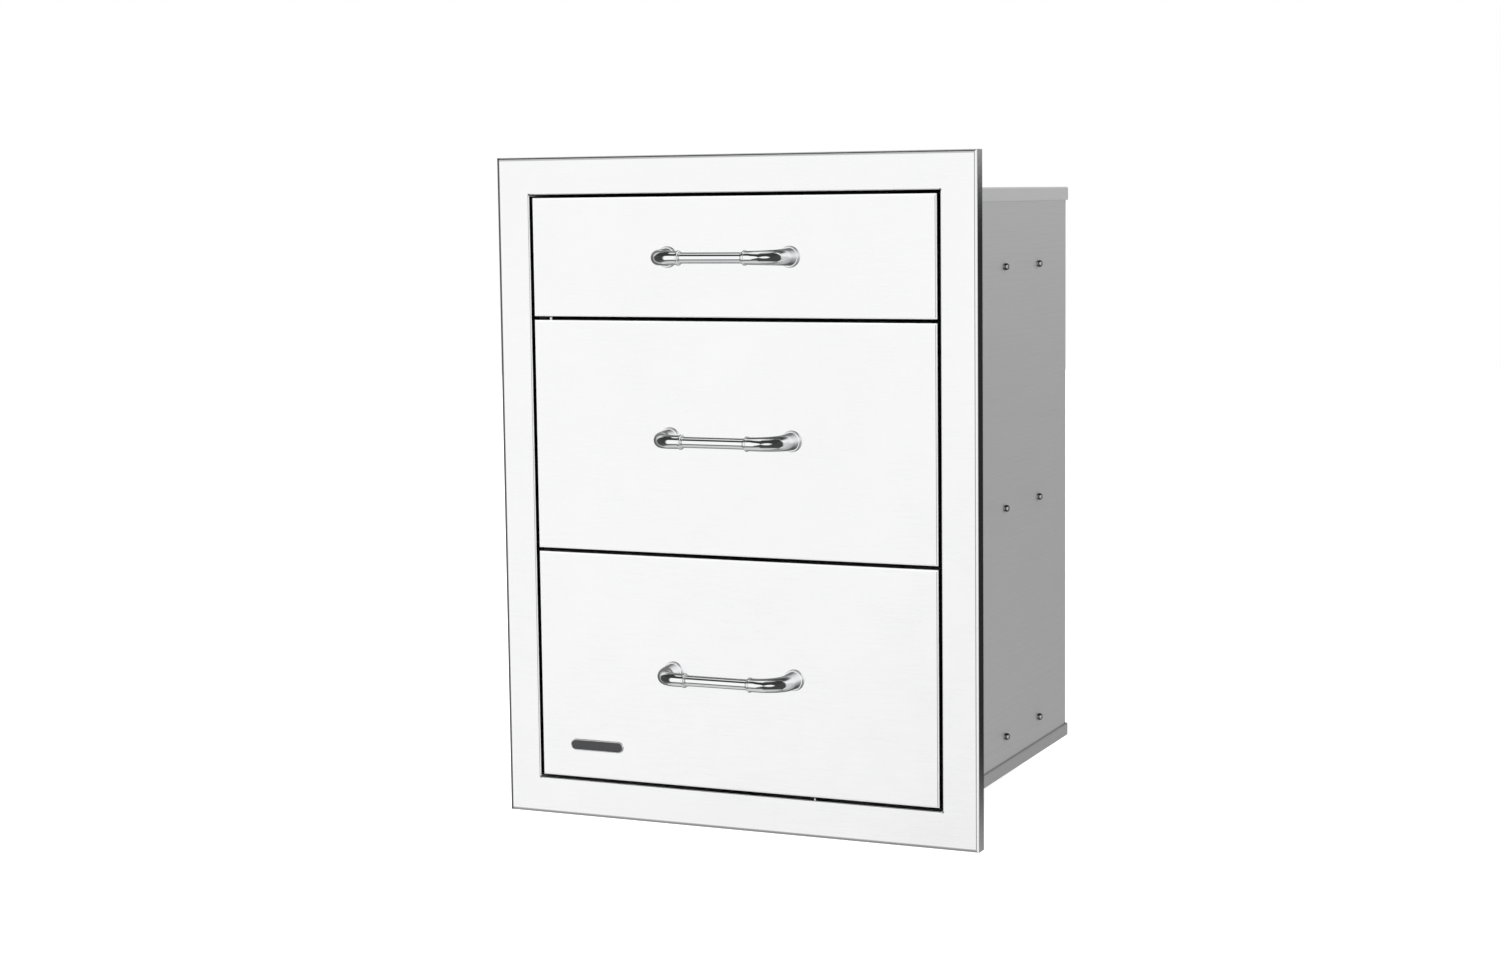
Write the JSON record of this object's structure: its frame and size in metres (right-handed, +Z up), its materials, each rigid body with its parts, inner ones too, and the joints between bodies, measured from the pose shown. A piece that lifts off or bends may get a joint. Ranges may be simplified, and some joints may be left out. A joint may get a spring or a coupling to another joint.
{
  "type": "outdoor kitchen drawer unit",
  "caption": "Built-in stainless drawer unit with a flanged face frame, a shallow drawer over deep drawers, bar handles and full-extension ball-bearing slides.",
  "frame": {"origin": "underside of the box, in the middle of its width, in the plane of the wall that the face frame's rim bears on", "axes": "+X to the right of a person facing the drawers, +Y back into the island, +Z up"},
  "size_m": [0.4444, 0.3873, 0.583],
  "materials": {
    "frame_steel": "bright fine-brushed stainless",
    "front_steel": "bright fine-brushed stainless",
    "box_steel": "dull rolled stainless",
    "tray_steel": "dull rolled stainless",
    "slide_steel": "bright zinc plate",
    "cage_steel": "bright zinc plate",
    "handle_chrome": "polished chrome",
    "rivet_steel": "bright stainless",
    "screw_steel": "bright zinc plate"
  },
  "bodies": {
    "cabinet": {"face_frame": "frame_steel", "left_side_panel": "box_steel", "right_side_panel": "box_steel", "top_pan": "box_steel", "bottom_pan": "box_steel", "back_panel": "box_steel", "left_slide_rivets": "rivet_steel", "right_slide_rivets": "rivet_steel", "top_left_cabinet_rail": "slide_steel", "top_right_cabinet_rail": "slide_steel", "middle_left_cabinet_rail": "slide_steel", "middle_right_cabinet_rail": "slide_steel", "bottom_left_cabinet_rail": "slide_steel", "bottom_right_cabinet_rail": "slide_steel"},
    "top_drawer": {"top_front_skin": "front_steel", "top_front_liner": "tray_steel", "top_tray": "tray_steel", "top_tray_back": "tray_steel", "top_left_drawer_rail": "slide_steel", "top_right_drawer_rail": "slide_steel", "top_left_tray_rivets": "rivet_steel", "top_right_tray_rivets": "rivet_steel", "top_handle_bar": "handle_chrome", "top_handle_elbows": "handle_chrome", "top_handle_screws": "screw_steel"},
    "top_middle_rails": {"top_left_middle_rail": "slide_steel", "top_right_middle_rail": "slide_steel"},
    "top_outer_race": {"top_outer_cages": "cage_steel"},
    "top_inner_race": {"top_inner_cages": "cage_steel"},
    "middle_drawer": {"middle_front_skin": "front_steel", "middle_front_liner": "tray_steel", "middle_tray": "tray_steel", "middle_tray_back": "tray_steel", "middle_left_drawer_rail": "slide_steel", "middle_right_drawer_rail": "slide_steel", "middle_left_tray_rivets": "rivet_steel", "middle_right_tray_rivets": "rivet_steel", "middle_handle_bar": "handle_chrome", "middle_handle_elbows": "handle_chrome", "middle_handle_screws": "screw_steel"},
    "middle_middle_rails": {"middle_left_middle_rail": "slide_steel", "middle_right_middle_rail": "slide_steel"},
    "middle_outer_race": {"middle_outer_cages": "cage_steel"},
    "middle_inner_race": {"middle_inner_cages": "cage_steel"},
    "bottom_drawer": {"bottom_front_skin": "front_steel", "bottom_front_liner": "tray_steel", "bottom_tray": "tray_steel", "bottom_tray_back": "tray_steel", "bottom_left_drawer_rail": "slide_steel", "bottom_right_drawer_rail": "slide_steel", "bottom_left_tray_rivets": "rivet_steel", "bottom_right_tray_rivets": "rivet_steel", "bottom_handle_bar": "handle_chrome", "bottom_handle_elbows": "handle_chrome", "bottom_handle_screws": "screw_steel"},
    "bottom_middle_rails": {"bottom_left_middle_rail": "slide_steel", "bottom_right_middle_rail": "slide_steel"},
    "bottom_outer_race": {"bottom_outer_cages": "cage_steel"},
    "bottom_inner_race": {"bottom_inner_cages": "cage_steel"}
  },
  "joints": [
    {"name": "top_drawer_slide", "type": "slide", "parent": "cabinet", "child": "top_drawer", "axis": [0, -1, 0], "range_m": [0, 0.3]},
    {"name": "top_middle_rails_slide", "type": "slide", "parent": "cabinet", "child": "top_middle_rails", "axis": [0, -1, 0], "range_m": [0, 0.15]},
    {"name": "top_outer_race_slide", "type": "slide", "parent": "cabinet", "child": "top_outer_race", "axis": [0, -1, 0], "range_m": [0, 0.075]},
    {"name": "top_inner_race_slide", "type": "slide", "parent": "cabinet", "child": "top_inner_race", "axis": [0, -1, 0], "range_m": [0, 0.225]},
    {"name": "middle_drawer_slide", "type": "slide", "parent": "cabinet", "child": "middle_drawer", "axis": [0, -1, 0], "range_m": [0, 0.3]},
    {"name": "middle_middle_rails_slide", "type": "slide", "parent": "cabinet", "child": "middle_middle_rails", "axis": [0, -1, 0], "range_m": [0, 0.15]},
    {"name": "middle_outer_race_slide", "type": "slide", "parent": "cabinet", "child": "middle_outer_race", "axis": [0, -1, 0], "range_m": [0, 0.075]},
    {"name": "middle_inner_race_slide", "type": "slide", "parent": "cabinet", "child": "middle_inner_race", "axis": [0, -1, 0], "range_m": [0, 0.225]},
    {"name": "bottom_drawer_slide", "type": "slide", "parent": "cabinet", "child": "bottom_drawer", "axis": [0, -1, 0], "range_m": [0, 0.3]},
    {"name": "bottom_middle_rails_slide", "type": "slide", "parent": "cabinet", "child": "bottom_middle_rails", "axis": [0, -1, 0], "range_m": [0, 0.15]},
    {"name": "bottom_outer_race_slide", "type": "slide", "parent": "cabinet", "child": "bottom_outer_race", "axis": [0, -1, 0], "range_m": [0, 0.075]},
    {"name": "bottom_inner_race_slide", "type": "slide", "parent": "cabinet", "child": "bottom_inner_race", "axis": [0, -1, 0], "range_m": [0, 0.225]}
  ],
  "couplings": [
    {"joint": "top_middle_rails_slide", "follows": "top_drawer_slide", "ratio": 0.5},
    {"joint": "top_outer_race_slide", "follows": "top_drawer_slide", "ratio": 0.25},
    {"joint": "top_inner_race_slide", "follows": "top_drawer_slide", "ratio": 0.75},
    {"joint": "middle_middle_rails_slide", "follows": "middle_drawer_slide", "ratio": 0.5},
    {"joint": "middle_outer_race_slide", "follows": "middle_drawer_slide", "ratio": 0.25},
    {"joint": "middle_inner_race_slide", "follows": "middle_drawer_slide", "ratio": 0.75},
    {"joint": "bottom_middle_rails_slide", "follows": "bottom_drawer_slide", "ratio": 0.5},
    {"joint": "bottom_outer_race_slide", "follows": "bottom_drawer_slide", "ratio": 0.25},
    {"joint": "bottom_inner_race_slide", "follows": "bottom_drawer_slide", "ratio": 0.75}
  ]
}
